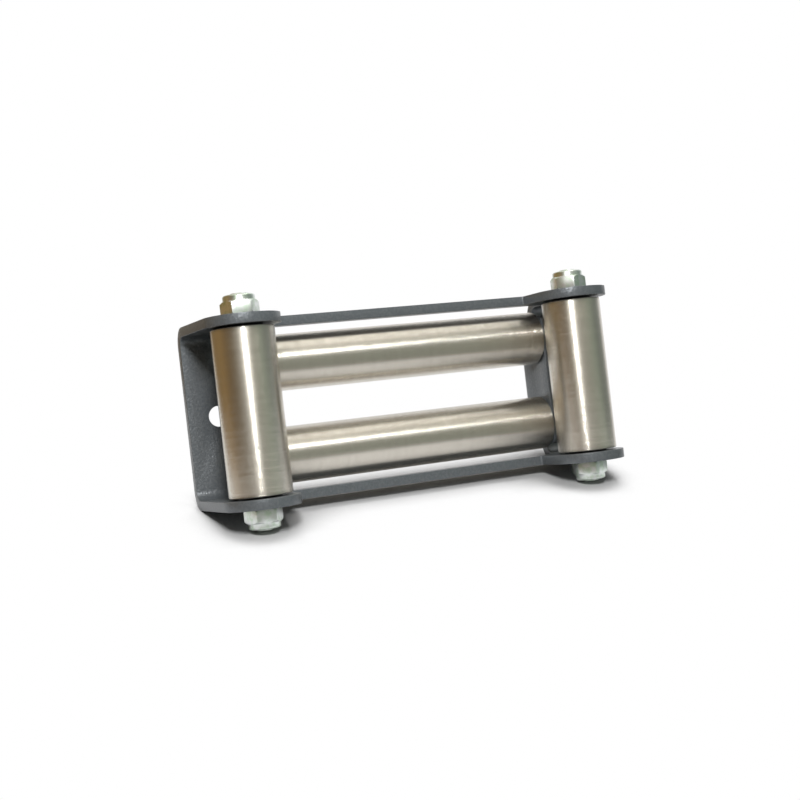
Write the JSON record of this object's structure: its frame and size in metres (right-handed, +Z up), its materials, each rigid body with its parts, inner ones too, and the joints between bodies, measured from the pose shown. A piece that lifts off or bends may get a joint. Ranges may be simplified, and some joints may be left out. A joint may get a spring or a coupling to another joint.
{
  "type": "roller fairlead",
  "caption": "Bolt-on winch cable guide: a bent sheet-steel frame with upright and level steel rollers that turn on through studs held by lock nuts.",
  "frame": {"origin": "middle of the two-hole mounting pattern, on the frame's back face", "axes": "+X along the level rollers, to the right seen from the front; +Y backwards, out of the back face; +Z up along the upright rollers"},
  "size_m": [0.1776, 0.0517, 0.0898],
  "materials": {
    "frame_coat": "dark metallic grey powder coat, satin, fine sparkle",
    "roller_steel": "stainless steel, turned and brushed around the roller",
    "nut_zinc": "bright zinc plate with a faint yellow-green passivation",
    "stud_zinc": "bright zinc plate",
    "bush_acetal": "black acetal",
    "washer_nylon": "black nylon",
    "insert_nylon": "natural white nylon"
  },
  "bodies": {
    "frame_body": {"frame": "frame_coat", "left_stud": "stud_zinc", "left_roller_lower_washer": "washer_nylon", "left_stud_lower_nut": "nut_zinc", "left_stud_lower_insert": "insert_nylon", "left_roller_upper_washer": "washer_nylon", "left_stud_upper_nut": "nut_zinc", "left_stud_upper_insert": "insert_nylon", "right_stud": "stud_zinc", "right_roller_lower_washer": "washer_nylon", "right_stud_lower_nut": "nut_zinc", "right_stud_lower_insert": "insert_nylon", "right_roller_upper_washer": "washer_nylon", "right_stud_upper_nut": "nut_zinc", "right_stud_upper_insert": "insert_nylon", "bottom_stud": "stud_zinc", "bottom_roller_left_washer": "washer_nylon", "bottom_stud_left_nut": "nut_zinc", "bottom_stud_left_insert": "insert_nylon", "bottom_roller_right_washer": "washer_nylon", "bottom_stud_right_nut": "nut_zinc", "bottom_stud_right_insert": "insert_nylon", "top_stud": "stud_zinc", "top_roller_left_washer": "washer_nylon", "top_stud_left_nut": "nut_zinc", "top_stud_left_insert": "insert_nylon", "top_roller_right_washer": "washer_nylon", "top_stud_right_nut": "nut_zinc", "top_stud_right_insert": "insert_nylon"},
    "left_roller": {"left_roller_tube": "roller_steel", "left_roller_lower_bush": "bush_acetal", "left_roller_upper_bush": "bush_acetal"},
    "right_roller": {"right_roller_tube": "roller_steel", "right_roller_lower_bush": "bush_acetal", "right_roller_upper_bush": "bush_acetal"},
    "bottom_roller": {"bottom_roller_tube": "roller_steel", "bottom_roller_left_bush": "bush_acetal", "bottom_roller_right_bush": "bush_acetal"},
    "top_roller": {"top_roller_tube": "roller_steel", "top_roller_left_bush": "bush_acetal", "top_roller_right_bush": "bush_acetal"}
  },
  "joints": [
    {"name": "left_roller_spin", "type": "hinge", "parent": "frame_body", "child": "left_roller", "pos_m": [-0.0725, -0.0367, 0], "axis": [0, 0, 1], "continuous": true},
    {"name": "right_roller_spin", "type": "hinge", "parent": "frame_body", "child": "right_roller", "pos_m": [0.0725, -0.0367, 0], "axis": [0, 0, 1], "continuous": true},
    {"name": "bottom_roller_spin", "type": "hinge", "parent": "frame_body", "child": "bottom_roller", "pos_m": [0, -0.0152, -0.0185], "axis": [1, 0, 0], "continuous": true},
    {"name": "top_roller_spin", "type": "hinge", "parent": "frame_body", "child": "top_roller", "pos_m": [0, -0.0152, 0.0185], "axis": [1, 0, 0], "continuous": true}
  ]
}
